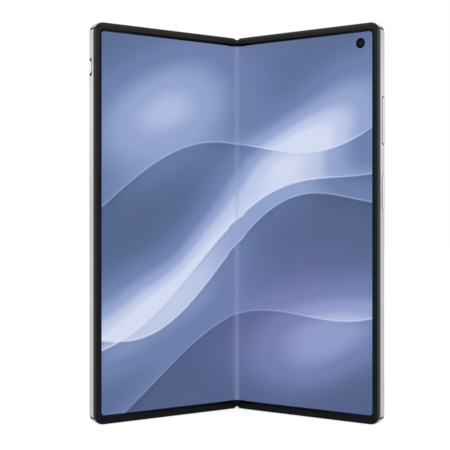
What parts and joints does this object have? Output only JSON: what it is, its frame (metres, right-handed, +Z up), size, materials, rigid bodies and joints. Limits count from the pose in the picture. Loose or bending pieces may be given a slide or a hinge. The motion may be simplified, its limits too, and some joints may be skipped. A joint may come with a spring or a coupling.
{
  "type": "foldable smartphone",
  "caption": "Book-style foldable smartphone with a bending inner screen, raised dark rim, satin metal frame and a geared hinge in the spine.",
  "frame": {"origin": "centre of the standing phone's footprint, at the bottom edges", "axes": "+Z up along the fold line; the inner screen faces -Y; the right half, with the keys, lies towards +X"},
  "size_m": [0.1178, 0.0472, 0.16],
  "materials": {
    "silver_frame": "satin anodised",
    "spine_metal": "satin",
    "rim_black": "soft matte",
    "inner_screen": "glossy lit screen",
    "black_glass": "gloss",
    "back_glass": "frosted",
    "lens_glass": "gloss",
    "flash_glass": "gloss",
    "black_plastic": "matte",
    "steel": "brushed",
    "screw_steel": "machined",
    "gear_brass": "machined",
    "contact_metal": "plated",
    "battery_wrap": "matte wrap",
    "board_green": "solder mask",
    "key_metal": "satin"
  },
  "bodies": {
    "spine": {"spine_cover": "spine_metal", "spine_end_caps": "black_plastic", "hinge_bases": "steel", "base_screws": "screw_steel", "inner_gear_pins": "screw_steel", "friction_washers": "screw_steel", "display_fold": "inner_screen"},
    "left_half": {"left_frame": "silver_frame", "left_antenna_bands": "rim_black", "left_rim": "rim_black", "left_display": "inner_screen", "left_support_plate": "steel", "left_brackets": "steel", "left_bracket_screws": "screw_steel", "left_battery": "battery_wrap", "left_board": "board_green", "earpiece_speaker": "black_plastic", "cover_display": "black_glass", "cover_camera": "lens_glass", "slider_contact": "contact_metal"},
    "right_half": {"right_frame": "silver_frame", "right_antenna_bands": "rim_black", "right_rim": "rim_black", "right_display": "inner_screen", "right_support_plate": "steel", "right_brackets": "steel", "right_bracket_screws": "screw_steel", "right_battery": "battery_wrap", "main_board": "board_green", "shield_cans": "steel", "bottom_speaker": "black_plastic", "vibration_motor": "steel", "usb_shell": "steel", "usb_tongue": "black_plastic", "selfie_camera": "lens_glass", "back_glass": "back_glass", "camera_island": "black_plastic", "camera_windows": "lens_glass", "camera_modules": "black_plastic", "flash_window": "flash_glass", "key_switches": "contact_metal"},
    "left_wing": {"left_wing": "steel"},
    "right_wing": {"right_wing": "steel"},
    "inner_gear_left": {"inner_gear_left": "gear_brass"},
    "inner_gear_right": {"inner_gear_right": "gear_brass"},
    "outer_gear_left": {"outer_gear_left": "gear_brass"},
    "outer_gear_right": {"outer_gear_right": "gear_brass"},
    "alert_slider": {"alert_slider": "key_metal"},
    "volume_rocker": {"volume_rocker": "key_metal"},
    "power_key": {"power_key": "key_metal"},
    "sim_tray": {"sim_tray": "key_metal"}
  },
  "joints": [
    {"name": "left_fold", "type": "hinge", "parent": "spine", "child": "left_half", "pos_m": [-0.00045, 0.01972, 0.08], "axis": [0, 0, 1], "range_deg": [-37.5, 52.5], "deforming": ["display_fold"]},
    {"name": "right_fold", "type": "hinge", "parent": "spine", "child": "right_half", "pos_m": [0.00045, 0.01972, 0.08], "axis": [0, 0, -1], "range_deg": [-37.5, 52.5], "deforming": ["display_fold"]},
    {"name": "left_wing_tilt", "type": "hinge", "parent": "left_half", "child": "left_wing", "pos_m": [-0.00551, 0.01703, 0.08], "axis": [0, 0, 1], "range_deg": [-11.25, 15.75]},
    {"name": "right_wing_tilt", "type": "hinge", "parent": "right_half", "child": "right_wing", "pos_m": [0.00551, 0.01703, 0.08], "axis": [0, 0, -1], "range_deg": [-11.25, 15.75]},
    {"name": "outer_gear_left_spin", "type": "hinge", "parent": "spine", "child": "outer_gear_left", "pos_m": [-0.00178, 0.02198, 0.03], "axis": [0, 0, -1], "range_deg": [-126.56, 177.19]},
    {"name": "inner_gear_left_spin", "type": "hinge", "parent": "spine", "child": "inner_gear_left", "pos_m": [-0.0006, 0.02222, 0.03], "axis": [0, 0, 1], "range_deg": [-126.56, 177.19]},
    {"name": "outer_gear_right_spin", "type": "hinge", "parent": "spine", "child": "outer_gear_right", "pos_m": [0.00178, 0.02198, 0.03], "axis": [0, 0, 1], "range_deg": [-126.56, 177.19]},
    {"name": "inner_gear_right_spin", "type": "hinge", "parent": "spine", "child": "inner_gear_right", "pos_m": [0.0006, 0.02222, 0.03], "axis": [0, 0, -1], "range_deg": [-126.56, 177.19]},
    {"name": "alert_slider_slide", "type": "slide", "parent": "left_half", "child": "alert_slider", "axis": [0, 0, 1], "range_m": [-0.0009, 0.0009]},
    {"name": "volume_rocker_rock", "type": "hinge", "parent": "right_half", "child": "volume_rocker", "pos_m": [0.05623, -0.02019, 0.1208], "axis": [0.6088, 0.7934, 0], "range_deg": [-1.2, 1.2], "stiffness_Nm_per_rad": 0.02},
    {"name": "power_key_press", "type": "slide", "parent": "right_half", "child": "power_key", "axis": [-0.7934, 0.6088, 0], "range_m": [0, 0.00025], "stiffness_N_per_m": 400},
    {"name": "sim_tray_slide", "type": "slide", "parent": "right_half", "child": "sim_tray", "axis": [0, 0, -1], "range_m": [0, 0.016]}
  ],
  "couplings": [
    {"joint": "right_fold", "follows": "left_fold", "ratio": 1},
    {"joint": "left_wing_tilt", "follows": "left_fold", "ratio": 0.3},
    {"joint": "outer_gear_left_spin", "follows": "left_fold", "ratio": 3.375},
    {"joint": "inner_gear_left_spin", "follows": "left_fold", "ratio": 3.375},
    {"joint": "right_wing_tilt", "follows": "left_fold", "ratio": 0.3},
    {"joint": "outer_gear_right_spin", "follows": "left_fold", "ratio": 3.375},
    {"joint": "inner_gear_right_spin", "follows": "left_fold", "ratio": 3.375}
  ]
}
